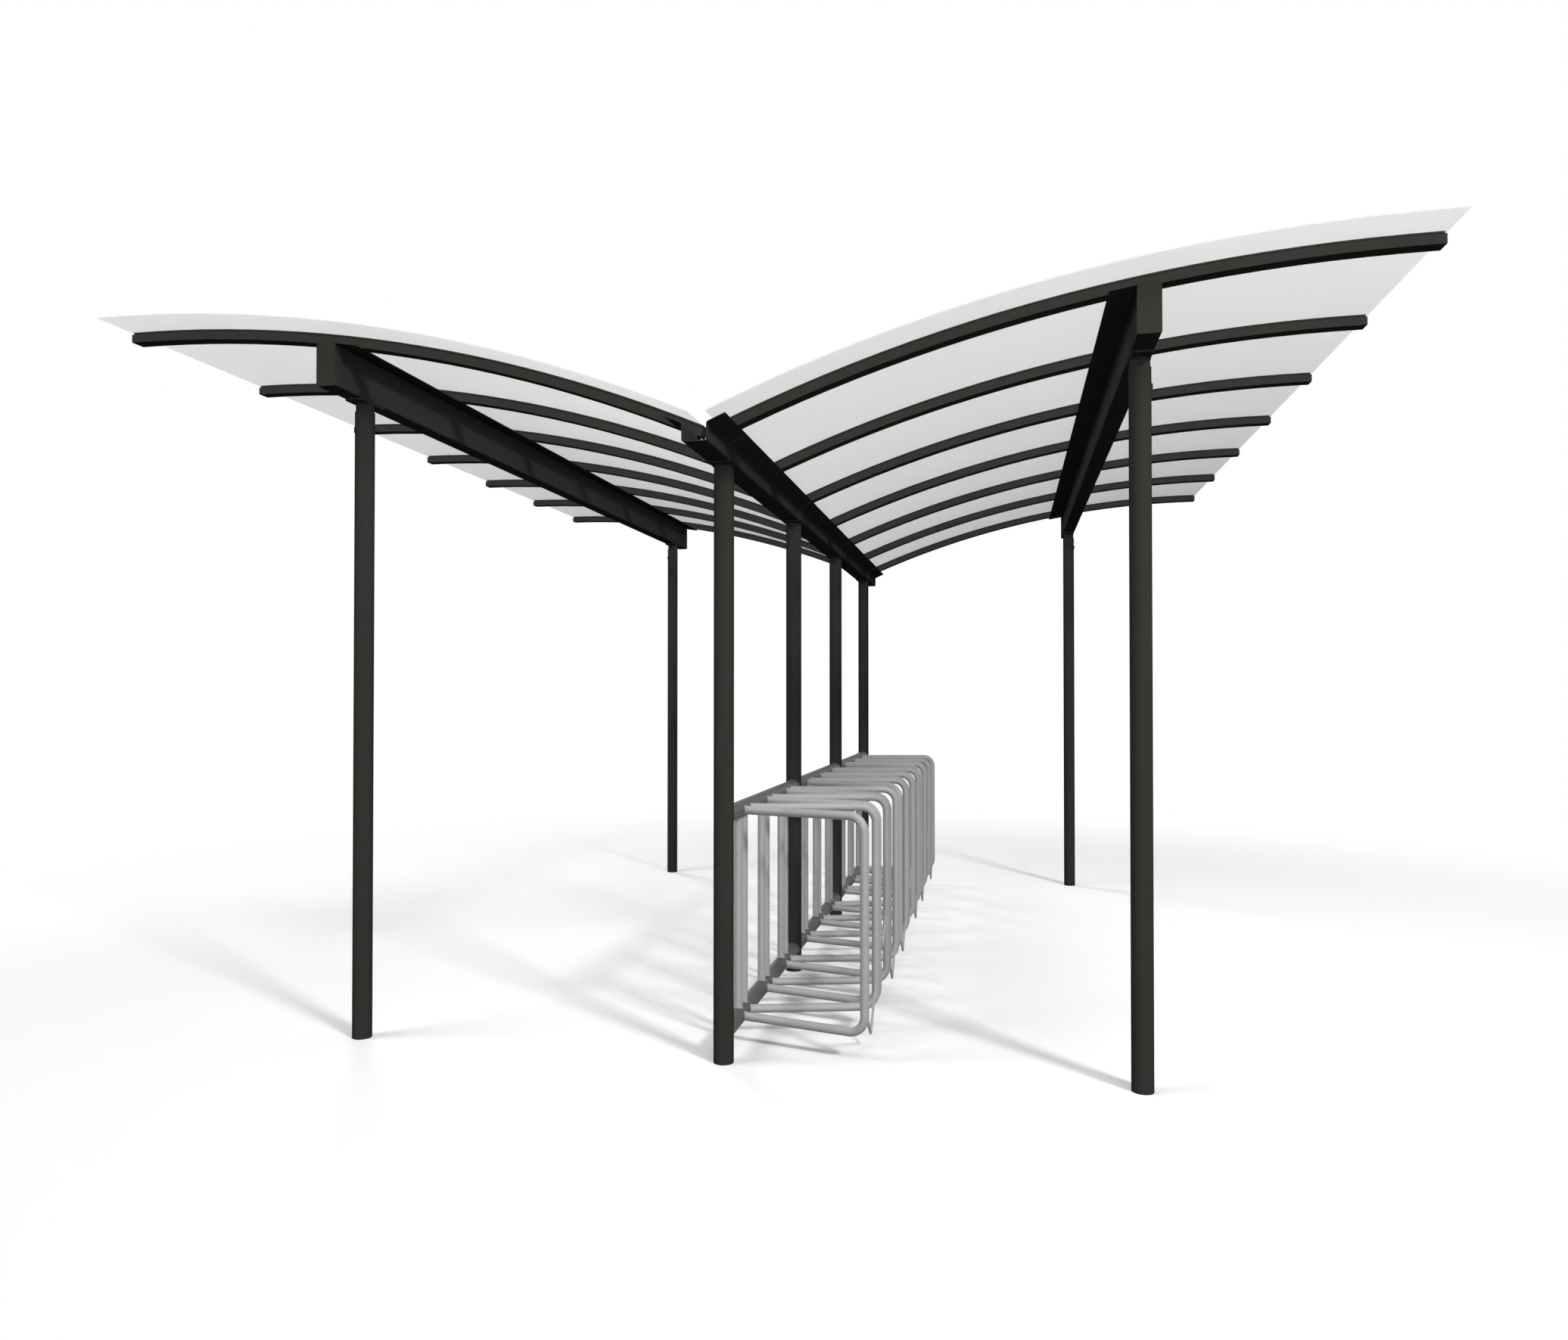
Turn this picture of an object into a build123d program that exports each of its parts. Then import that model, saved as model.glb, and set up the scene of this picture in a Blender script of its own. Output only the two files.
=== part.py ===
from build123d import *
from math import asin, atan2, cos, sin, sqrt, tan
import os

# Open bike shelter with two roof wings that fall to a gutter in the middle.
# X runs across the shelter, Y along its gutter and Z up. The origin is on the ground,
# halfway between the posts. All sizes are in millimetres.

# Posts: round tubes, a row of four under the gutter and one under each end of a beam
bay_count = 3
post_pitch = 1375.0
post_diameter = 76.1
post_wall = 3.2
side_post_x = 1489.0
shoulder_radius = 3.0

# Heads of the side posts: a sleeve that stands out of the post and carries a plate
sleeve_clearance = 0.3
sleeve_wall = 4.0
sleeve_show = 28.0
sleeve_hidden = 140.0
head_plate_width = 70.0
head_plate_length = 176.0
head_plate_thickness = 7.0
head_plate_corner = 12.0

# Side beams: rectangular hollow section, capped at both ends
beam_width = 78.0
beam_height = 160.0
beam_wall = 4.0
beam_corner = 6.0
beam_least_corner = 1.0
beam_overhang = 259.0
cap_thickness = 4.0

# Seat plates: strips folded over the beams, whose sloping leg carries the ribs
seat_thickness = 4.0
seat_fold_inset = 5.0
seat_reach = 87.0
seat_edge_margin = 6.0

# Roof curve: the arc that the underside of the sheets follows, seen from the end
roof_radius = 5845.0
crown_x = 2360.0
crown_height = 2810.5

# Ribs: curved hollow sections, with a glazing bar of T section along their back
rib_count = 7
rib_pitch = 750.5
rib_width = 58.0
rib_height = 32.0
rib_wall = 2.5
rib_inner_x = 14.0
rib_outer_x = 2380.0
rib_cap_thickness = 3.0
bore_overrun = 5.0
bar_neck_width = 30.0
bar_neck_height = 3.0
bar_strip_width = 50.0
bar_strip_height = 6.0
bar_setback = 5.0

# Roof sheets: one curved sheet of opal plastic on each wing
sheet_thickness = 4.0
sheet_inner_x = 33.0
sheet_nose = 6.0
sheet_overhang = 379.0

# Gutter: folded hat section, with its flanges under the inner ends of the ribs
gutter_thickness = 3.0
gutter_width = 90.0
gutter_flange = 64.0
gutter_depth = 63.57
gutter_bend = 8.0
gutter_overhang = 401.5
saddle_thickness = 3.0
saddle_length = 176.0
saddle_lip = 5.0

# Rack on the right side: rails, bars and bent tube hoops
rail_diameter = 65.0
rail_wall = 3.0
upper_rail_z = 913.0
lower_rail_z = 108.0
rack_tube = 33.7
pairs_per_bay = 3
pair_pitch = 416.0
pair_gap = 86.0
hoop_mouth = 366.0
hoop_reach = 516.0
hoop_bend = 63.0

# Wheel stops: V-shaped rods across the mouths, alternately low and high
stop_rod = 10.0
stop_bend = 16.0
stop_drop = 156.0
low_stop_z = 209.0
high_stop_z = 445.0

# Worked out from the sizes above
row_length = bay_count * post_pitch
post_rows = [i * post_pitch - row_length / 2 for i in range(bay_count + 1)]
side_post_rows = [post_rows[0], post_rows[-1]]
rib_rows = [(i - (rib_count - 1) / 2) * rib_pitch for i in range(rib_count)]
arc_centre_z = crown_height - roof_radius
sheet_outer_x = rib_outer_x + sheet_nose
rib_top_radius = roof_radius - bar_strip_height - bar_neck_height
rib_bottom_radius = rib_top_radius - rib_height


def arc_z(radius, x):
    """Height of a concentric roof arc at the distance x from the middle."""
    return arc_centre_z + sqrt(radius**2 - (x - crown_x) ** 2)


def rib_underside(x):
    return arc_z(rib_bottom_radius, x)


def along(face, y_start, y_end):
    """Extrude a face drawn in the XZ plane from one Y to another."""
    return Pos(0, y_end, 0) * extrude(Plane.XZ * face, y_end - y_start)


def other_side(shape):
    return mirror(shape, about=Plane.YZ)


def sector(bottom_radius, top_radius, inner_x, outer_x):
    """Strip between two roof arcs, cut square at both ends."""
    start = asin((inner_x - crown_x) / roof_radius)
    end = asin((outer_x - crown_x) / roof_radius)

    def on_arc(radius, angle):
        return (crown_x + radius * sin(angle), arc_centre_z + radius * cos(angle))

    middle = (start + end) / 2
    top = ThreePointArc(*[on_arc(top_radius, a) for a in (start, middle, end)])
    bottom = ThreePointArc(*[on_arc(bottom_radius, a) for a in (start, middle, end)])
    ends = [Line(top @ 0, bottom @ 0), Line(top @ 1, bottom @ 1)]
    return make_face([top, bottom] + ends)


def save(name, *shapes):
    """Write one named piece, or several like pieces, as a STEP file."""
    solids = [solid for shape in shapes for solid in shape.solids()]
    whole = solids[0] if len(solids) == 1 else Compound(children=solids)
    whole.label = name
    export_step(whole, f"parts/{name}.step")


def tube(diameter, wall, height):
    ring = Circle(diameter / 2) - Circle(diameter / 2 - wall)
    return extrude(ring, height)


# Gutter and saddles share one fold line, the underside of the gutter
gutter_web_x = gutter_width / 2
gutter_tip_x = gutter_web_x + gutter_flange
gutter_rise = rib_underside(gutter_tip_x) - rib_underside(gutter_web_x)
flange_slope = atan2(gutter_rise, gutter_flange)
gutter_root_z = rib_underside(gutter_web_x) - gutter_thickness / cos(flange_slope)
gutter_bottom_z = gutter_root_z - gutter_depth


def gutter_fold(flange_cut=0.0):
    tip_x = gutter_tip_x - flange_cut
    tip_z = gutter_root_z + (tip_x - gutter_web_x) * tan(flange_slope)
    right = [(gutter_web_x, gutter_bottom_z), (gutter_web_x, gutter_root_z), (tip_x, tip_z)]
    left = [(-x, z) for x, z in reversed(right)]
    return FilletPolyline(*left, *right, radius=gutter_bend)


def folded(line, thickness, side):
    return make_face(offset(line, amount=thickness, side=side))


def make_gutter():
    section = folded(gutter_fold(), gutter_thickness, Side.LEFT)
    half = row_length / 2 + gutter_overhang
    return along(section, -half, half)


def make_saddles():
    section = folded(gutter_fold(saddle_lip), saddle_thickness, Side.RIGHT)
    half = saddle_length / 2
    return [along(section, y - half, y + half) for y in post_rows]


# Beams, their caps and the seat plates follow the underside of the ribs
seat_fold_x = side_post_x - beam_width / 2 + seat_fold_inset
beam_top = rib_underside(seat_fold_x) - seat_thickness
beam_bottom = beam_top - beam_height
beam_half = row_length / 2 + beam_overhang


def beam_section(inset):
    size = (beam_width - 2 * inset, beam_height - 2 * inset)
    corner = max(beam_corner - inset, beam_least_corner)
    middle_z = (beam_top + beam_bottom) / 2
    return Pos(side_post_x, middle_z) * RectangleRounded(*size, corner)


def make_beam():
    return along(beam_section(0) - beam_section(beam_wall), -beam_half, beam_half)


def make_beam_caps():
    plug = beam_section(beam_wall)
    near = along(plug, -beam_half, cap_thickness - beam_half)
    far = along(plug, beam_half - cap_thickness, beam_half)
    return [near, far]


def make_seat_plate():
    tip_x = side_post_x - beam_width / 2 - seat_reach
    edge_x = side_post_x + beam_width / 2 - seat_edge_margin
    fold_z = rib_underside(seat_fold_x)
    tip_z = rib_underside(tip_x)
    slope = atan2(fold_z - tip_z, seat_fold_x - tip_x)
    fold_shift = seat_thickness * tan(slope / 2)
    section = Polygon(
        (edge_x, fold_z),
        (seat_fold_x, fold_z),
        (tip_x, tip_z),
        (tip_x + seat_thickness * sin(slope), tip_z - seat_thickness * cos(slope)),
        (seat_fold_x + fold_shift, fold_z - seat_thickness),
        (edge_x, fold_z - seat_thickness),
        align=None,
    )
    return along(section, -beam_half, beam_half)


# Posts and heads
def make_centre_post(y):
    top = gutter_bottom_z - saddle_thickness
    return Pos(0, y, 0) * tube(post_diameter, post_wall, top)


plate_bottom = beam_bottom - head_plate_thickness
post_shoulder = plate_bottom - sleeve_show


def make_side_post(y):
    post = tube(post_diameter, post_wall, post_shoulder)
    rim = post.edges().filter_by(GeomType.CIRCLE).group_by(Axis.Z)[-1].sort_by(SortBy.RADIUS)[-1]
    return Pos(side_post_x, y, 0) * fillet(rim, shoulder_radius)


def make_post_head(y):
    sleeve_diameter = post_diameter - 2 * post_wall - 2 * sleeve_clearance
    sleeve = tube(sleeve_diameter, sleeve_wall, sleeve_show + sleeve_hidden)
    sleeve = Pos(0, 0, plate_bottom - sleeve_show - sleeve_hidden) * sleeve
    outline = RectangleRounded(head_plate_width, head_plate_length, head_plate_corner)
    plate = Pos(0, 0, plate_bottom) * extrude(outline, head_plate_thickness)
    return Pos(side_post_x, y, 0) * (sleeve + plate)


# Ribs with their caps and glazing bars, and the sheets that they carry
def make_rib(y):
    outer = sector(rib_bottom_radius, rib_top_radius, rib_inner_x, rib_outer_x)
    radii = (rib_bottom_radius + rib_wall, rib_top_radius - rib_wall)
    hole = sector(*radii, rib_inner_x - bore_overrun, rib_outer_x + bore_overrun)
    half = rib_width / 2
    return along(outer, y - half, y + half) - along(hole, y - half + rib_wall, y + half - rib_wall)


def make_rib_caps(y):
    half = rib_width / 2 - rib_wall
    radii = (rib_bottom_radius + rib_wall, rib_top_radius - rib_wall)
    inner = sector(*radii, rib_inner_x, rib_inner_x + rib_cap_thickness)
    outer = sector(*radii, rib_outer_x - rib_cap_thickness, rib_outer_x)
    return [along(cap, y - half, y + half) for cap in (inner, outer)]


def make_glazing_bar(y):
    ends = (rib_inner_x + bar_setback, rib_outer_x - bar_setback)
    neck_top = rib_top_radius + bar_neck_height
    neck = sector(rib_top_radius, neck_top, *ends)
    strip = sector(neck_top, roof_radius, *ends)
    half_neck = bar_neck_width / 2
    half_strip = bar_strip_width / 2
    return along(neck, y - half_neck, y + half_neck) + along(strip, y - half_strip, y + half_strip)


def make_sheet():
    section = sector(roof_radius, roof_radius + sheet_thickness, sheet_inner_x, sheet_outer_x)
    half = row_length / 2 + sheet_overhang
    return along(section, -half, half)


# Rack: the rails run from post to post, and all that meets them is cut to their curve
def rail_body(z, y_start, y_end):
    """Solid round bar where a rail runs, used to make the rail and to cut what meets it."""
    return Pos(0, y_end, z) * extrude(Plane.XZ * Circle(rail_diameter / 2), y_end - y_start)


def make_rail(z, bay):
    y_start, y_end = post_rows[bay], post_rows[bay + 1]
    bore = Circle(rail_diameter / 2 - rail_wall)
    rail = rail_body(z, y_start, y_end)
    rail -= Pos(0, y_end, z) * extrude(Plane.XZ * bore, y_end - y_start)
    for y in (y_start, y_end):
        rail -= Pos(0, y, z) * Cylinder(post_diameter / 2, 2 * rail_diameter)
    return rail


def pair_rows(bay):
    middle = (post_rows[bay] + post_rows[bay + 1]) / 2
    return [middle + (i - (pairs_per_bay - 1) / 2) * pair_pitch for i in range(pairs_per_bay)]


def cut_by_rails(shape, y):
    for z in (upper_rail_z, lower_rail_z):
        shape -= rail_body(z, y - hoop_mouth, y + hoop_mouth)
    return shape


def make_bar(y):
    height = upper_rail_z - lower_rail_z
    bar = Pos(0, y, lower_rail_z) * extrude(Circle(rack_tube / 2), height)
    return cut_by_rails(bar, y)


def make_hoop(y_rail, y_front):
    path = FilletPolyline(
        (0, y_rail, upper_rail_z),
        (hoop_reach, y_front, upper_rail_z),
        (hoop_reach, y_front, lower_rail_z),
        (0, y_rail, lower_rail_z),
        radius=hoop_bend,
    )
    hoop = sweep(Plane(path @ 0, z_dir=path % 0) * Circle(rack_tube / 2), path=path)
    return cut_by_rails(hoop, y_rail)


def make_stop(y, height):
    half = hoop_mouth / 2
    path = FilletPolyline(
        (hoop_reach, y - half, height),
        (hoop_reach, y, height - stop_drop),
        (hoop_reach, y + half, height),
        radius=stop_bend,
    )
    rod = sweep(Plane(path @ 0, z_dir=path % 0) * Circle(stop_rod / 2), path=path)
    for side in (-half, half):
        rod -= Pos(hoop_reach, y + side, height) * Cylinder(rack_tube / 2, 2 * rack_tube)
    return rod


os.makedirs("parts", exist_ok=True)

for number, y in enumerate(post_rows, 1):
    save(f"centre_post_{number}", make_centre_post(y))

for place, y in zip(("near", "far"), side_post_rows):
    post = make_side_post(y)
    save(f"side_post_right_{place}", post)
    save(f"side_post_left_{place}", other_side(post))

heads = [make_post_head(y) for y in side_post_rows]
save("post_heads_right", *heads)
save("post_heads_left", *[other_side(head) for head in heads])

save("gutter", make_gutter())
save("gutter_saddles", *make_saddles())

beam = make_beam()
save("side_beam_right", beam)
save("side_beam_left", other_side(beam))
beam_caps = make_beam_caps()
save("beam_end_caps", *beam_caps, *[other_side(cap) for cap in beam_caps])

seat = make_seat_plate()
save("seat_plate_right", seat)
save("seat_plate_left", other_side(seat))

for number, y in enumerate(rib_rows, 1):
    rib = make_rib(y)
    save(f"rib_right_{number}", rib)
    save(f"rib_left_{number}", other_side(rib))

rib_caps = [cap for y in rib_rows for cap in make_rib_caps(y)]
save("rib_end_caps_right", *rib_caps)
save("rib_end_caps_left", *[other_side(cap) for cap in rib_caps])

glazing_bars = [make_glazing_bar(y) for y in rib_rows]
save("glazing_bars_right", *glazing_bars)
save("glazing_bars_left", *[other_side(bar) for bar in glazing_bars])

sheet = make_sheet()
save("roof_sheet_right", sheet)
save("roof_sheet_left", other_side(sheet))

save("upper_rails", *[make_rail(upper_rail_z, bay) for bay in range(bay_count)])
save("lower_rails", *[make_rail(lower_rail_z, bay) for bay in range(bay_count)])

bars, stops = [], []
for bay in range(bay_count):
    hoops = []
    for index, y in enumerate(pair_rows(bay)):
        stops.append(make_stop(y, high_stop_z if index % 2 else low_stop_z))
        for side in (-1, 1):
            y_rail = y + side * pair_gap / 2
            y_front = y + side * hoop_mouth / 2
            bars.append(make_bar(y_rail))
            hoops.append(make_hoop(y_rail, y_front))
    save(f"rack_hoops_bay_{bay + 1}", *hoops)
save("rack_bars", *bars)
save("wheel_stops", *stops)
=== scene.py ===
from math import cos, pi, radians, sin, sqrt

import bmesh
import bpy
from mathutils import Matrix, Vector


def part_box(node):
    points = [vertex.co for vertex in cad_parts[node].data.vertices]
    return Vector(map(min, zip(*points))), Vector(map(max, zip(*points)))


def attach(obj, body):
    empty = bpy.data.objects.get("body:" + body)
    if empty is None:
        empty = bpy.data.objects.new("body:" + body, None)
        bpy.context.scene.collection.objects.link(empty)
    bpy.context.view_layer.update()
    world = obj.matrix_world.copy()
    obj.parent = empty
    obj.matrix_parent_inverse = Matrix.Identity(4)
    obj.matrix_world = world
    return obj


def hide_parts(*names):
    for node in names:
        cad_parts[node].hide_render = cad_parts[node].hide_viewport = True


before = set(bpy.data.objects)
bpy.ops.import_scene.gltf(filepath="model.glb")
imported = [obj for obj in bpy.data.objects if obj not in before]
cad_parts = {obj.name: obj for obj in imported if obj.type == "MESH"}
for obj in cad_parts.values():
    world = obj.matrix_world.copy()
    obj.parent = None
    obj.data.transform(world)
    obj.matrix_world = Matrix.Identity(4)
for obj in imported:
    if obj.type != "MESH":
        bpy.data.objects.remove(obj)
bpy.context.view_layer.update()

# Photographer's place: a stand beside the near end of the rack at eye height, looking along the gutter
# and a little to its left. A wide lens with a small rise keeps the posts upright in the picture.
eye = Vector((1.0186, -5.9594, 1.3609))
turn_left = radians(11.455)
tilt_up = radians(0.70)
camera_data = bpy.data.cameras.new("camera")
camera_data.sensor_width = 36.0
camera_data.lens = 24.739
camera_data.shift_y = 0.0081
camera_data.clip_end = 200.0
camera = bpy.data.objects.new("camera", camera_data)
camera.location = eye
camera.rotation_euler = (pi / 2 + tilt_up, 0.0, turn_left)
bpy.context.scene.collection.objects.link(camera)
bpy.context.scene.camera = camera
bpy.context.scene.view_settings.view_transform = "Standard"


# Studio floor and surround: a white floor that keeps the soft shadows. It is lifted away from the near
# left post, where the lamps reach less, and runs out into white a few metres from the middle. To light
# that scatters floor and surround are dim, so that undersides stay dark as they do outdoors.
floor_half = 60.0
floor_dim = "#5c5c5c"
floor_paint = "#ffffff"
lift_centre = (-1.5, -3.5, 0.0)
lift_from, lift_to = 2.0, 6.0
floor_lift = 0.30
white_from, white_to = 2.5, 7.0
surround_level = 0.02
surround_white = "#ffffff"


def linear(hex_colour):
    """sRGB hex colour as linear red, green, blue and alpha."""
    channels = [int(hex_colour[i:i + 2], 16) / 255 for i in (1, 3, 5)]
    return [c / 12.92 if c <= 0.04045 else ((c + 0.055) / 1.055) ** 2.4 for c in channels] + [1.0]


def new_material(name):
    material = bpy.data.materials.new(name)
    material.use_nodes = True
    material.node_tree.nodes.clear()
    return material


def add(material, kind, settings=(), **sockets):
    """Add one node with its settings and links. A socket goes by its name, with _ for a space, or as i and
    its number, and takes a value or another node's output."""
    node = material.node_tree.nodes.new(kind)
    for key, value in dict(settings).items():
        setattr(node, key, value)
    for name, value in sockets.items():
        numbered = name[0] == "i" and name[1:].isdigit()
        socket = node.inputs[int(name[1:]) if numbered else name.replace("_", " ")]
        if isinstance(value, bpy.types.NodeSocket):
            material.node_tree.links.new(value, socket)
        else:
            socket.default_value = value
    return node


def seen_share(material):
    """1 for rays that show the backdrop itself: from the camera, off a shine or through clear glass."""
    rays = add(material, "ShaderNodeLightPath")
    clear = add(material, "ShaderNodeMath", {"operation": "SUBTRACT", "use_clamp": True},
                i0=rays.outputs["Is Transmission Ray"], i1=rays.outputs["Is Diffuse Ray"])
    shine = add(material, "ShaderNodeMath", {"operation": "MAXIMUM"},
                i0=rays.outputs["Is Glossy Ray"], i1=clear.outputs[0])
    either = add(material, "ShaderNodeMath", {"operation": "MAXIMUM"},
                 i0=rays.outputs["Is Camera Ray"], i1=shine.outputs[0])
    return either.outputs[0]


floor_mesh = bpy.data.meshes.new("studio_floor")
corners = [(x * floor_half, y * floor_half, 0.0) for x, y in ((-1, -1), (1, -1), (1, 1), (-1, 1))]
floor_mesh.from_pydata(corners, [], [(0, 1, 2, 3)])
floor = bpy.data.objects.new("studio_floor", floor_mesh)
bpy.context.scene.collection.objects.link(floor)

studio_white = new_material("studio_white")
seen = seen_share(studio_white)
paint = add(studio_white, "ShaderNodeMix", {"data_type": "RGBA"},
            i0=seen, i6=linear(floor_dim), i7=linear(floor_paint))
matt = add(studio_white, "ShaderNodeBsdfDiffuse", Color=paint.outputs[2])
spot = add(studio_white, "ShaderNodeTexCoord")
beyond = add(studio_white, "ShaderNodeVectorMath", {"operation": "DISTANCE"},
             i0=spot.outputs["Object"], i1=lift_centre)
rise = add(studio_white, "ShaderNodeMapRange", {"interpolation_type": "SMOOTHSTEP"},
           Value=beyond.outputs["Value"], From_Min=lift_from, From_Max=lift_to, To_Max=floor_lift)
lift = add(studio_white, "ShaderNodeMath", {"operation": "MULTIPLY"}, i0=rise.outputs[0], i1=seen)
bright = add(studio_white, "ShaderNodeEmission", Strength=lift.outputs[0])
lifted = add(studio_white, "ShaderNodeAddShader", i0=matt.outputs[0], i1=bright.outputs[0])
away = add(studio_white, "ShaderNodeVectorMath", {"operation": "LENGTH"}, i0=spot.outputs["Object"])
fade = add(studio_white, "ShaderNodeMapRange", {"interpolation_type": "SMOOTHSTEP"},
           Value=away.outputs["Value"], From_Min=white_from, From_Max=white_to)
fade_seen = add(studio_white, "ShaderNodeMath", {"operation": "MULTIPLY"}, i0=fade.outputs[0], i1=seen)
white = add(studio_white, "ShaderNodeEmission", Strength=1.0)
whole = add(studio_white, "ShaderNodeMixShader",
            i0=fade_seen.outputs[0], i1=lifted.outputs[0], i2=white.outputs[0])
add(studio_white, "ShaderNodeOutputMaterial", Surface=whole.outputs[0])
floor_mesh.materials.append(studio_white)

surround = bpy.data.worlds.new("surround")
bpy.context.scene.world = surround
surround.use_nodes = True
surround.node_tree.nodes.clear()
level = add(surround, "ShaderNodeMapRange", Value=seen_share(surround), To_Min=surround_level, To_Max=1.0)
sky = add(surround, "ShaderNodeBackground", Color=linear(surround_white), Strength=level.outputs[0])
add(surround, "ShaderNodeOutputWorld", Surface=sky.outputs[0])


# Soft boxes: the key stands high at the front right and throws the posts' shadows. One high on the left and
# one over the right wing glow through the sheets, one far in front fills the faces, one lifts the back.
def soft_box(name, stand, aim, size, watts, shadow=True):
    """Square lamp on its stand, turned to its aim."""
    data = bpy.data.lights.new(name, "AREA")
    data.size = size
    data.use_shadow = shadow
    data.energy = watts
    lamp = bpy.data.objects.new(name, data)
    lamp.location = stand
    lamp.rotation_euler = (Vector(aim) - Vector(stand)).to_track_quat("-Z", "Y").to_euler()
    bpy.context.scene.collection.objects.link(lamp)


soft_box("key", stand=(8.4, -8.7, 9.0), aim=(0.0, 0.0, 1.0), size=1.7, watts=1100.0)
soft_box("high_left", stand=(-8.0, -5.5, 9.0), aim=(0.0, -1.0, 2.6), size=5.0, watts=580.0)
soft_box("over_right_wing", stand=(2.0, -5.5, 7.0), aim=(1.2, -1.5, 2.6), size=4.0, watts=140.0)
soft_box("front", stand=(5.5, -22.0, 0.8), aim=(0.0, 0.0, 1.6), size=2.0, watts=1580.0, shadow=False)
soft_box("back", stand=(-8.0, 8.0, 8.0), aim=(0.0, 0.0, 1.0), size=3.0, watts=420.0)


# Posts: round steel tubes, a row of four under the gutter and one near each end of a side beam. Each side
# post takes the sleeve of a head plate in its open top and holds it with a set bolt on its outer side.
# The steel is galvanised and powder coated in anthracite.
MM = 0.001
centre_posts = [f"centre_post_{number}" for number in (1, 2, 3, 4)]
side_posts = ("side_post_right_near", "side_post_right_far", "side_post_left_near", "side_post_left_far")
post_radius = 38.05 * MM
set_bolt_height = 2.432
# Low button head: half width and height in mm, and whether that level is a hexagon, from rim to socket.
set_bolt_head = ((11.5, -3.5, False), (11.5, 1.0, False), (10.6, 2.6, False), (8.4, 3.7, False),
                 (5.2, 4.3, False), (4.1, 4.4, False), (3.5, 3.9, True), (3.5, 1.2, True))
sharp_edge = radians(35.0)

# Powder coat, sprayed and baked with a fine matt structure: to the eye a nearly black skin that soaks up
# glancing light, with a soft mottle and a faint peel.
anthracite = "#34322f"
anthracite_pale = "#393735"
mottle_mm = 140.0
peel_mm = 9.0            # real peel is about 2 mm, drawn coarser so that it shows
peel_relief_mm = 0.6     # and deeper to match
coat_satin, coat_matt = 0.46, 0.60
powder_coat = new_material("anthracite_powder_coat_fine_structure")
spot = add(powder_coat, "ShaderNodeTexCoord")
mottle = add(powder_coat, "ShaderNodeTexNoise",
             Vector=spot.outputs["Object"], Scale=1 / (mottle_mm * MM), Detail=4.0)
tone = add(powder_coat, "ShaderNodeMix", {"data_type": "RGBA"},
           i0=mottle.outputs["Fac"], i6=linear(anthracite), i7=linear(anthracite_pale))
peel = add(powder_coat, "ShaderNodeTexNoise",
           Vector=spot.outputs["Object"], Scale=1 / (peel_mm * MM), Detail=2.0)
grain = add(powder_coat, "ShaderNodeBump",
            Height=peel.outputs["Fac"], Strength=0.12, Distance=peel_relief_mm * MM)
satin = add(powder_coat, "ShaderNodeMapRange",
            Value=mottle.outputs["Fac"], To_Min=coat_satin, To_Max=coat_matt)
coat = add(powder_coat, "ShaderNodeBsdfPrincipled", Base_Color=tone.outputs[2],
           Roughness=satin.outputs[0], Normal=grain.outputs[0], IOR=1.5, Specular_IOR_Level=0.0)
add(powder_coat, "ShaderNodeOutputMaterial", Surface=coat.outputs[0])


def dress(material, slot, *beginnings):
    """Give the finish to the CAD nodes whose names begin so."""
    for name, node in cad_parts.items():
        if name.startswith(beginnings):
            node.data.materials.clear()
            node.data.materials.append(material)


def middle(name):
    """Middle of a CAD node's box."""
    low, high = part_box(name)
    return (Vector(low) + Vector(high)) / 2


def fit(name, made, material):
    """Turn made faces into a named piece of the shelter, shaded smooth between its sharp edges."""
    bmesh.ops.recalc_face_normals(made, faces=made.faces)
    mesh = bpy.data.meshes.new(name)
    made.to_mesh(mesh)
    made.free()
    mesh.shade_smooth()
    mesh.set_sharp_from_angle(angle=sharp_edge)
    mesh.materials.append(material)
    piece = bpy.data.objects.new(name, mesh)
    bpy.context.scene.collection.objects.link(piece)
    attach(piece, "root")
    return piece


def square_to(direction):
    """Two directions at right angles to one and to each other."""
    direction = Vector(direction).normalized()
    nearly_upright = abs(direction.z) >= 0.9
    lean = Vector((0, 1, 0)) if nearly_upright else Vector((0, 0, 1))
    across = direction.cross(lean).normalized()
    return across, direction.cross(across).normalized()


def turn_up(made, profile, seat, axis, steps=24):
    """Add a screw head to the made faces, turned about its axis from its seat. The profile runs from rim to
    middle in mm, as half width, height and whether that level is a hexagon."""
    axis = Vector(axis).normalized()
    across, along = square_to(axis)
    rings = []
    for half_width, height, hexagon in profile:
        ring = []
        for step in range(steps):
            angle = 2 * pi * step / steps
            from_flat = (angle + pi / 6) % (pi / 3) - pi / 6
            radius = half_width / cos(from_flat) if hexagon else half_width
            offset = across * cos(angle) + along * sin(angle)
            ring.append(made.verts.new(seat + (offset * radius + axis * height) * MM))
        rings.append(ring)
    for lower, upper in zip(rings, rings[1:]):
        for a in range(steps):
            b = (a + 1) % steps
            made.faces.new((lower[a], lower[b], upper[b], upper[a]))
    made.faces.new(rings[-1])
    made.faces.new(rings[0][::-1])


dress(powder_coat, "frame_steel", "centre_post", "side_post")

bolts = bmesh.new()
for name in side_posts:
    post = middle(name)
    outward = Vector((1 if post.x > 0 else -1, 0, 0))
    seat = Vector((post.x, post.y, set_bolt_height)) + outward * post_radius
    turn_up(bolts, set_bolt_head, seat, outward)
fit("set_bolts", bolts, powder_coat)


# Heads of the side posts: a cut plate with a tube sleeve welded under it, which slips into the post. The
# centre posts end under the gutter and are welded to it all round before the coating. The beads are small
# and even, and the coat softens their scales.
head_plate_thickness = 7.0 * MM
sleeve_radius = 34.55 * MM
frame_bead_mm = 2.4
bead_sides = 6
ripple, ripple_count = 0.10, 17
sway, sway_count, sway_start = 0.06, 7, 1


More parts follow.
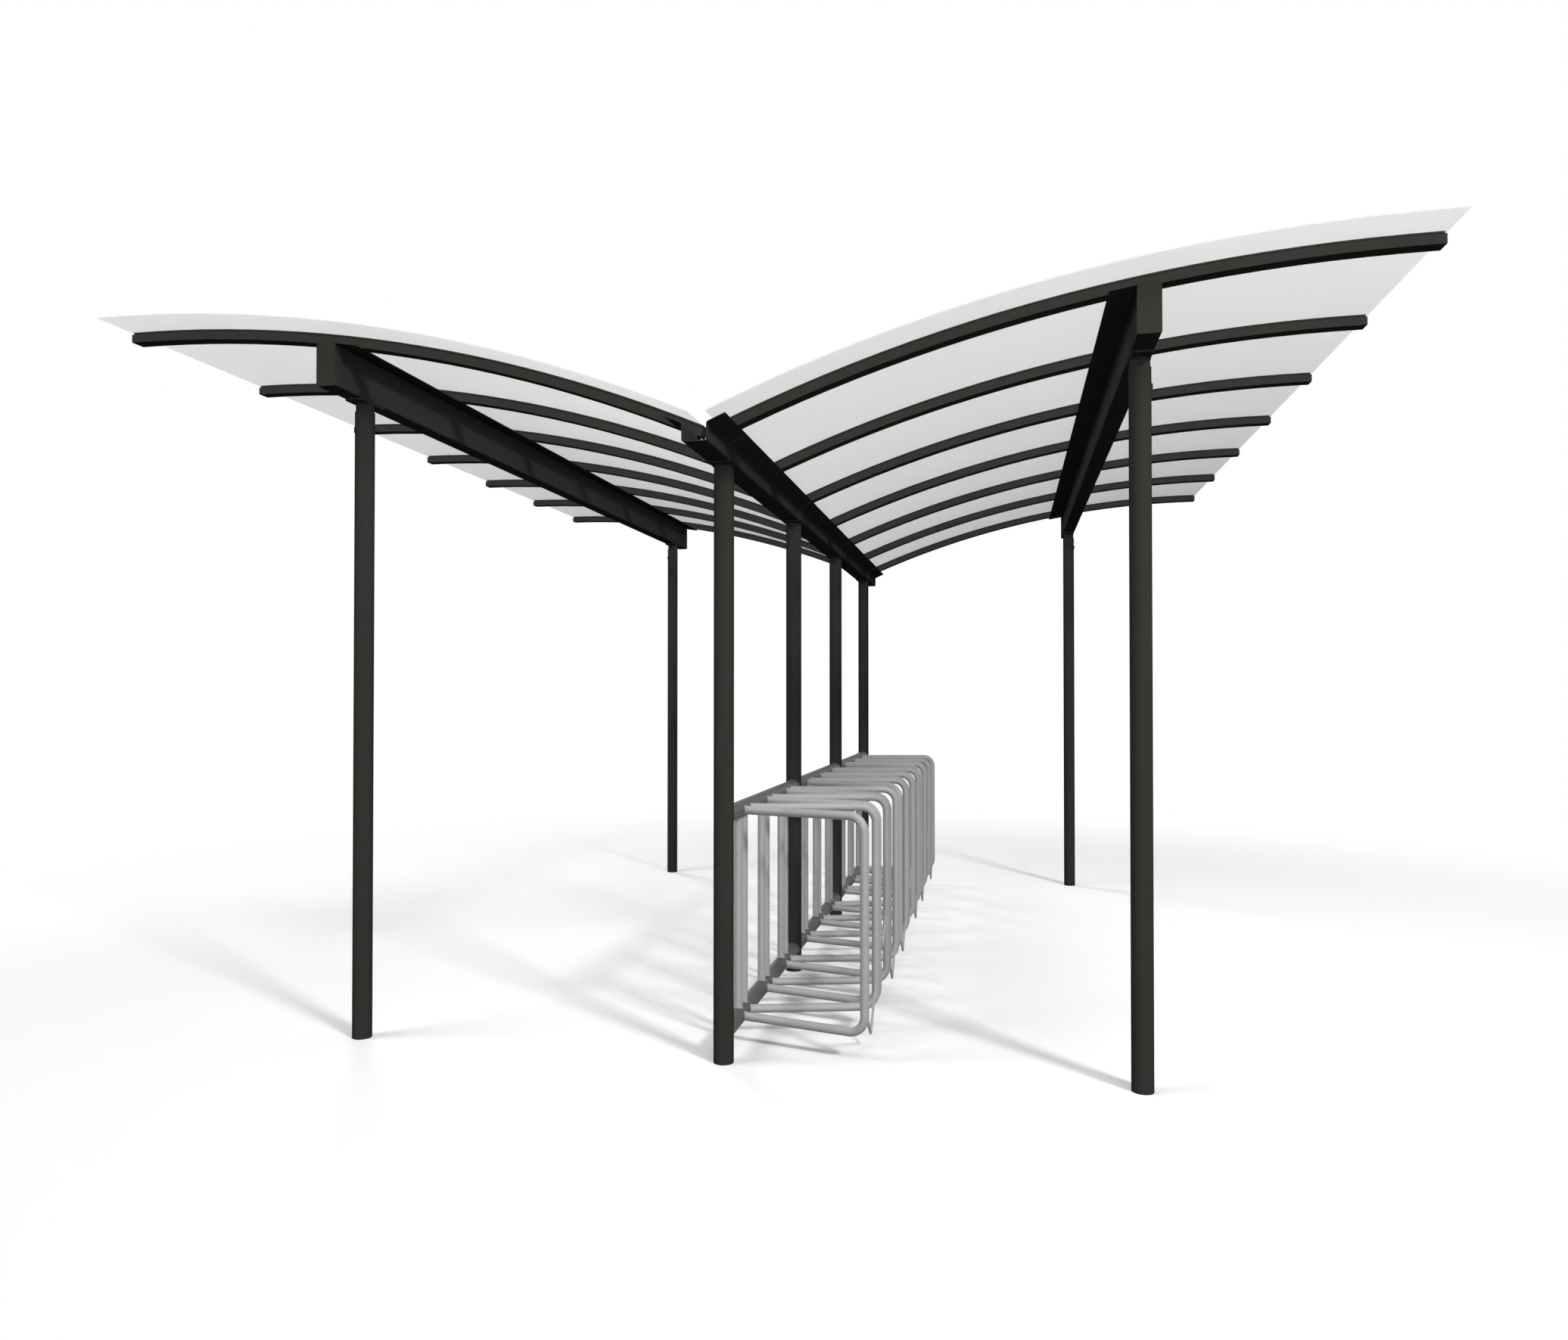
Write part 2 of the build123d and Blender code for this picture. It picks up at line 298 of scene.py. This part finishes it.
def lay_bead(made, line, outwards, leg_mm):
    """Add a closed weld bead to the made faces: a cord along a line, a little uneven like its scales."""
    count = len(line)
    rings = []
    for i, (point, outward) in enumerate(zip(line, outwards)):
        forward = (line[(i + 1) % count] - line[i - 1]).normalized()
        outward = (outward - forward * outward.dot(forward)).normalized()
        beside = forward.cross(outward)
        turn = 2 * pi * i / count
        scales = ripple * sin(ripple_count * turn) + sway * sin(sway_count * turn + sway_start)
        radius = leg_mm * MM * (1 + scales)
        ring = []
        for side in range(bead_sides):
            angle = 2 * pi * side / bead_sides
            ring.append(made.verts.new(point + (outward * cos(angle) + beside * sin(angle)) * radius))
        rings.append(ring)
    for i, ring in enumerate(rings):
        following = rings[(i + 1) % count]
        for a in range(bead_sides):
            b = (a + 1) % bead_sides
            made.faces.new((ring[a], ring[b], following[b], following[a]))


def lay_round_bead(made, centre, radius, leg_mm, steps=48):
    """Bead round an upright tube, in the corner with the plate above it."""
    line, outwards = [], []
    for step in range(steps):
        angle = 2 * pi * step / steps
        out = Vector((cos(angle), sin(angle), 0))
        line.append(centre + out * radius)
        outwards.append(out - Vector((0, 0, 1)))
    lay_bead(made, line, outwards, leg_mm)


dress(powder_coat, "frame_steel", "post_heads")

beads = bmesh.new()
head_plate_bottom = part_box("side_beam_right")[0][2] - head_plate_thickness
for name in side_posts:
    post = middle(name)
    lay_round_bead(beads, Vector((post.x, post.y, head_plate_bottom)), sleeve_radius, frame_bead_mm)
for name in centre_posts:
    post = middle(name)
    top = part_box(name)[1][2]
    lay_round_bead(beads, Vector((post.x, post.y, top)), post_radius, frame_bead_mm)
fit("post_weld_beads", beads, powder_coat)


# Gutter and its saddles: a hat section folded from 3 mm sheet steel, which carries the inner ends of the
# ribs on its flanges, with a folded saddle plate round it at each post. Coated like the posts.
dress(powder_coat, "frame_steel", "gutter")


# Side beams: rectangular hollow sections with welded caps at both ends. A folded seat plate runs along
# the top of each and gives the ribs a slope to lie on. Coated like the posts.
dress(powder_coat, "frame_steel", "side_beam", "beam_end", "seat_plate")


# Ribs: curved hollow sections, seven to a wing, which lie on the seat plate of the beam and on the flange
# of the gutter. Two low flat-headed screws from below hold each rib to each of them. Coated like the posts.
roof_radius = 5.845
crown_x, crown_height = 2.360, 2.8105
rib_bottom_radius = 5.804
rib_rows = [middle(f"rib_right_{number}").y for number in range(1, 8)]
post_rows = [middle(name).y for name in centre_posts]
seat_plate_thickness = 4.0 * MM
gutter_thickness = 3.0 * MM
saddle_thickness = 3.0 * MM
saddle_half = 88.0 * MM
seat_screw_x = 1.405
flange_screw_x = 0.080
rib_screw_spacing = 15.0 * MM
flat_head = ((7.2, -0.4, False), (7.2, 0.2, False), (6.2, 0.9, False), (3.0, 1.3, False),
             (2.4, 1.3, False), (2.0, 1.1, True), (2.0, 0.2, True))


def on_roof_arc(wing, radius, x, y):
    """Point of an arc of the roof and the direction straight up from it. The wing is 1 right, -1 left."""
    sideways = x - crown_x
    height = sqrt(radius ** 2 - sideways ** 2)
    point = Vector((wing * x, y, crown_height - roof_radius + height))
    return point, Vector((wing * sideways, 0, height)).normalized()


dress(powder_coat, "frame_steel", "rib_")

screws = bmesh.new()
for wing in (1, -1):
    for row in rib_rows:
        on_saddle = any(abs(row - post_row) < saddle_half for post_row in post_rows)
        flange = gutter_thickness + (saddle_thickness if on_saddle else 0.0)
        for x, below in ((seat_screw_x, seat_plate_thickness), (flange_screw_x, flange)):
            for side in (-1, 1):
                y = row + side * rib_screw_spacing
                seat, up = on_roof_arc(wing, rib_bottom_radius - below, x, y)
                turn_up(screws, flat_head, seat, -up)
fit("rib_screws", screws, powder_coat)


# Glazing bars: extruded aluminium T bars screwed along the back of the ribs, coated like the frame. They
# hold the sheets clear of the steel.
dress(powder_coat, "glazing_bar", "glazing_bars")


# Roof sheets: one solid polycarbonate sheet to a wing, milky right through, extruded and curved cold over
# the bars, and held down by screws.
sheet_thickness = 4.0 * MM
sheet_bedding = 0.3 * MM
sheet_inner_x, sheet_outer_x = 0.033, 2.386
sheet_near, sheet_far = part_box("roof_sheet_right")[0][1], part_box("roof_sheet_right")[1][1]
bend_steps = 72

# Opal polycarbonate, extruded smooth: light from above comes through as an even glow, nothing shows through
# it, and a lamp gives only a broad soft shine.
opal_white = "#ececeb"
opal_glow = "#f3f2f2"
opal_shade = "#ececec"
milk_share = 0.53
opal = new_material("opal_polycarbonate")
body = add(opal, "ShaderNodeBsdfPrincipled",
           Base_Color=linear(opal_white), Roughness=0.5, IOR=1.585, Specular_IOR_Level=0.08)
glow = add(opal, "ShaderNodeBsdfTranslucent", Color=linear(opal_glow))
milk = add(opal, "ShaderNodeMixShader", i0=milk_share, i1=body.outputs[0], i2=glow.outputs[0])
rays = add(opal, "ShaderNodeLightPath")
through = add(opal, "ShaderNodeBsdfTransparent", Color=linear(opal_shade))
skin = add(opal, "ShaderNodeMixShader",
           i0=rays.outputs["Is Shadow Ray"], i1=milk.outputs[0], i2=through.outputs[0])
add(opal, "ShaderNodeOutputMaterial", Surface=skin.outputs[0])


def bend_sheet(wing):
    """One sheet, bent over the bars from the gutter to the eaves. It beds a hair clear of the bars."""
    made = bmesh.new()
    low, high = roof_radius + sheet_bedding, roof_radius + sheet_thickness
    rows = []
    for step in range(bend_steps + 1):
        x = sheet_inner_x + (sheet_outer_x - sheet_inner_x) * step / bend_steps
        row = []
        for radius, y in ((high, sheet_near), (high, sheet_far), (low, sheet_far), (low, sheet_near)):
            foot, up = on_roof_arc(wing, roof_radius, x, y)
            row.append(made.verts.new(foot + up * (radius - roof_radius)))
        rows.append(row)
    for row, following in zip(rows, rows[1:]):
        for a in range(4):
            b = (a + 1) % 4
            made.faces.new((row[a], row[b], following[b], following[a]))
    made.faces.new(rows[0])
    made.faces.new(rows[-1][::-1])
    return made


for name, wing in (("right", 1), ("left", -1)):
    sheet = fit(f"opal_sheet_{name}", bend_sheet(wing), opal)
    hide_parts(f"roof_sheet_{name}")


# Sheet screws: stainless hexagon screws with a broad pressed washer on a ring of rubber that seals the
# hole, one about every 330 mm into each glazing bar.
sheet_screw_count = 7
sheet_screw_first, sheet_screw_last = 0.130, 2.090
washer = ((8.0, -0.2, False), (8.0, 1.0, False), (7.6, 1.3, False), (4.6, 2.0, False))
hexagon_head = ((4.6, 1.6, False), (4.6, 2.3, False), (4.0, 2.35, True), (4.0, 4.7, True), (3.4, 5.1, False))
sealing_ring = ((8.3, -0.3, False), (8.3, 0.5, False), (7.9, 0.7, False))

# Stainless steel, turned: pale grey metal with a soft shine.
stainless_grey = "#b9b8b5"
stainless = new_material("stainless_steel_turned")
steel = add(stainless, "ShaderNodeBsdfPrincipled",
            Base_Color=linear(stainless_grey), Metallic=1.0, Roughness=0.35)
add(stainless, "ShaderNodeOutputMaterial", Surface=steel.outputs[0])

# Rubber, moulded: a dull, nearly black line under each washer.
rubber_black = "#1d1d1c"
rubber = new_material("epdm_rubber_moulded")
dull = add(rubber, "ShaderNodeBsdfPrincipled", Base_Color=linear(rubber_black), Roughness=0.75, IOR=1.5)
add(rubber, "ShaderNodeOutputMaterial", Surface=dull.outputs[0])

heads, seals = bmesh.new(), bmesh.new()
spacing = (sheet_screw_last - sheet_screw_first) / (sheet_screw_count - 1)
for wing in (1, -1):
    for row in rib_rows:
        for number in range(sheet_screw_count):
            x = sheet_screw_first + number * spacing
            seat, up = on_roof_arc(wing, roof_radius + sheet_thickness, x, row)
            turn_up(heads, washer, seat, up)
            turn_up(heads, hexagon_head, seat, up)
            turn_up(seals, sealing_ring, seat, up)
fit("sheet_screws", heads, stainless)
fit("sheet_screw_seals", seals, rubber)


# Rails of the rack: round steel tubes between the centre posts, one above and one below, coped to the
# posts, welded on all round and powder coated.
rail_radius = 32.5 * MM
upper_rail, lower_rail = middle("upper_rails").z, middle("lower_rails").z
rail_bead_mm = 2.4

# Grey powder coat, sprayed and baked smooth: darker and duller than the hoops, with the posts' soft mottle.
rail_grey = "#4f4f4c"
rail_grey_pale = "#585855"
grey_coat = new_material("stone_grey_powder_coat")
spot = add(grey_coat, "ShaderNodeTexCoord")
mottle = add(grey_coat, "ShaderNodeTexNoise",
             Vector=spot.outputs["Object"], Scale=1 / (mottle_mm * MM), Detail=4.0)
tone = add(grey_coat, "ShaderNodeMix", {"data_type": "RGBA"},
           i0=mottle.outputs["Fac"], i6=linear(rail_grey), i7=linear(rail_grey_pale))
coat = add(grey_coat, "ShaderNodeBsdfPrincipled",
           Base_Color=tone.outputs[2], Roughness=0.5, IOR=1.5, Specular_IOR_Level=0.15)
add(grey_coat, "ShaderNodeOutputMaterial", Surface=coat.outputs[0])
dress(grey_coat, "rail_steel", "upper_rails", "lower_rails")


def lay_coped_bead(made, start, direction, radius, target_axis, target_radius, leg_mm, steps=48):
    """Bead where a tube leaves a round tube that it is coped to. It starts on that tube's centre line and
    runs off along its direction. The target's axis is the direction of its centre line."""
    direction = Vector(direction).normalized()
    target_axis = Vector(target_axis).normalized()
    across, beside = square_to(direction)
    run = direction - target_axis * direction.dot(target_axis)
    line, outwards = [], []
    for step in range(steps):
        angle = 2 * pi * step / steps
        out = across * cos(angle) + beside * sin(angle)
        arm = out * radius
        arm -= target_axis * arm.dot(target_axis)
        half = arm.dot(run) / run.dot(run)
        reach = sqrt(max(0.0, half ** 2 - (arm.dot(arm) - target_radius ** 2) / run.dot(run))) - half
        line.append(start + out * radius + direction * reach)
        outwards.append(out + (arm + run * reach).normalized())
    lay_bead(made, line, outwards, leg_mm)


beads = bmesh.new()
for near, far in zip(post_rows, post_rows[1:]):
    for height in (upper_rail, lower_rail):
        for post_row, along in ((near, 1), (far, -1)):
            lay_coped_bead(beads, Vector((0, post_row, height)), (0, along, 0), rail_radius,
                           (0, 0, 1), post_radius, rail_bead_mm)
fit("rail_weld_beads", beads, grey_coat)


# Rack: bent tubes and upright bars of steel, coped to the rails and welded, with thin steel rods across the
# mouths of the hoops. The steel is hot-dip galvanised.
pair_pitch = 0.416
pair_half_gap = 0.043
mouth_half = 0.183
hoop_reach = 0.516
rack_radius = 16.85 * MM
rod_radius = 5.0 * MM
stop_drop = 0.156
low_stop, high_stop = 0.209, 0.445
tube_bead_mm, rod_bead_mm = 2.1, 1.5
tube_bead_steps, rod_bead_steps = 40, 20

# Zinc, hot dipped: it dries to a satin light grey, with a faint spangle of crystals about a centimetre
# wide. Its dull skin shines less than bare metal, so it counts as metal only in part.
zinc_grey = "#a5a5a4"
zinc_grey_dull = "#9f9f9e"
spangle_mm = 11.0
zinc_bright, zinc_dull = 0.42, 0.55
zinc = new_material("hot_dip_galvanised_steel")
spot = add(zinc, "ShaderNodeTexCoord")
crystals = add(zinc, "ShaderNodeTexVoronoi", Vector=spot.outputs["Object"], Scale=1 / (spangle_mm * MM))
tone = add(zinc, "ShaderNodeMix", {"data_type": "RGBA"},
           i0=crystals.outputs["Distance"], i6=linear(zinc_grey), i7=linear(zinc_grey_dull))
satin = add(zinc, "ShaderNodeMapRange",
            Value=crystals.outputs["Distance"], To_Min=zinc_bright, To_Max=zinc_dull)
metal = add(zinc, "ShaderNodeBsdfPrincipled",
            Base_Color=tone.outputs[2], Roughness=satin.outputs[0], Metallic=0.1, Specular_IOR_Level=0.1)
add(zinc, "ShaderNodeOutputMaterial", Surface=metal.outputs[0])
dress(zinc, "rack_steel", "rack_", "wheel_stops")

beads = bmesh.new()
for near, far in zip(post_rows, post_rows[1:]):
    for index in (-1, 0, 1):
        row = (near + far) / 2 + index * pair_pitch
        for side in (-1, 1):
            y = row + side * pair_half_gap
            spread = (hoop_reach, side * (mouth_half - pair_half_gap), 0)
            for rail, upright in ((upper_rail, (0, 0, -1)), (lower_rail, (0, 0, 1))):
                for direction in (spread, upright):
                    lay_coped_bead(beads, Vector((0, y, rail)), direction, rack_radius,
                                   (0, 1, 0), rail_radius, tube_bead_mm, tube_bead_steps)
            stop_height = low_stop if index else high_stop
            stop_end = Vector((hoop_reach, row + side * mouth_half, stop_height))
            inward = (0, -side * mouth_half, -stop_drop)
            lay_coped_bead(beads, stop_end, inward, rod_radius,
                           (0, 0, 1), rack_radius, rod_bead_mm, rod_bead_steps)
fit("rack_weld_beads", beads, zinc)
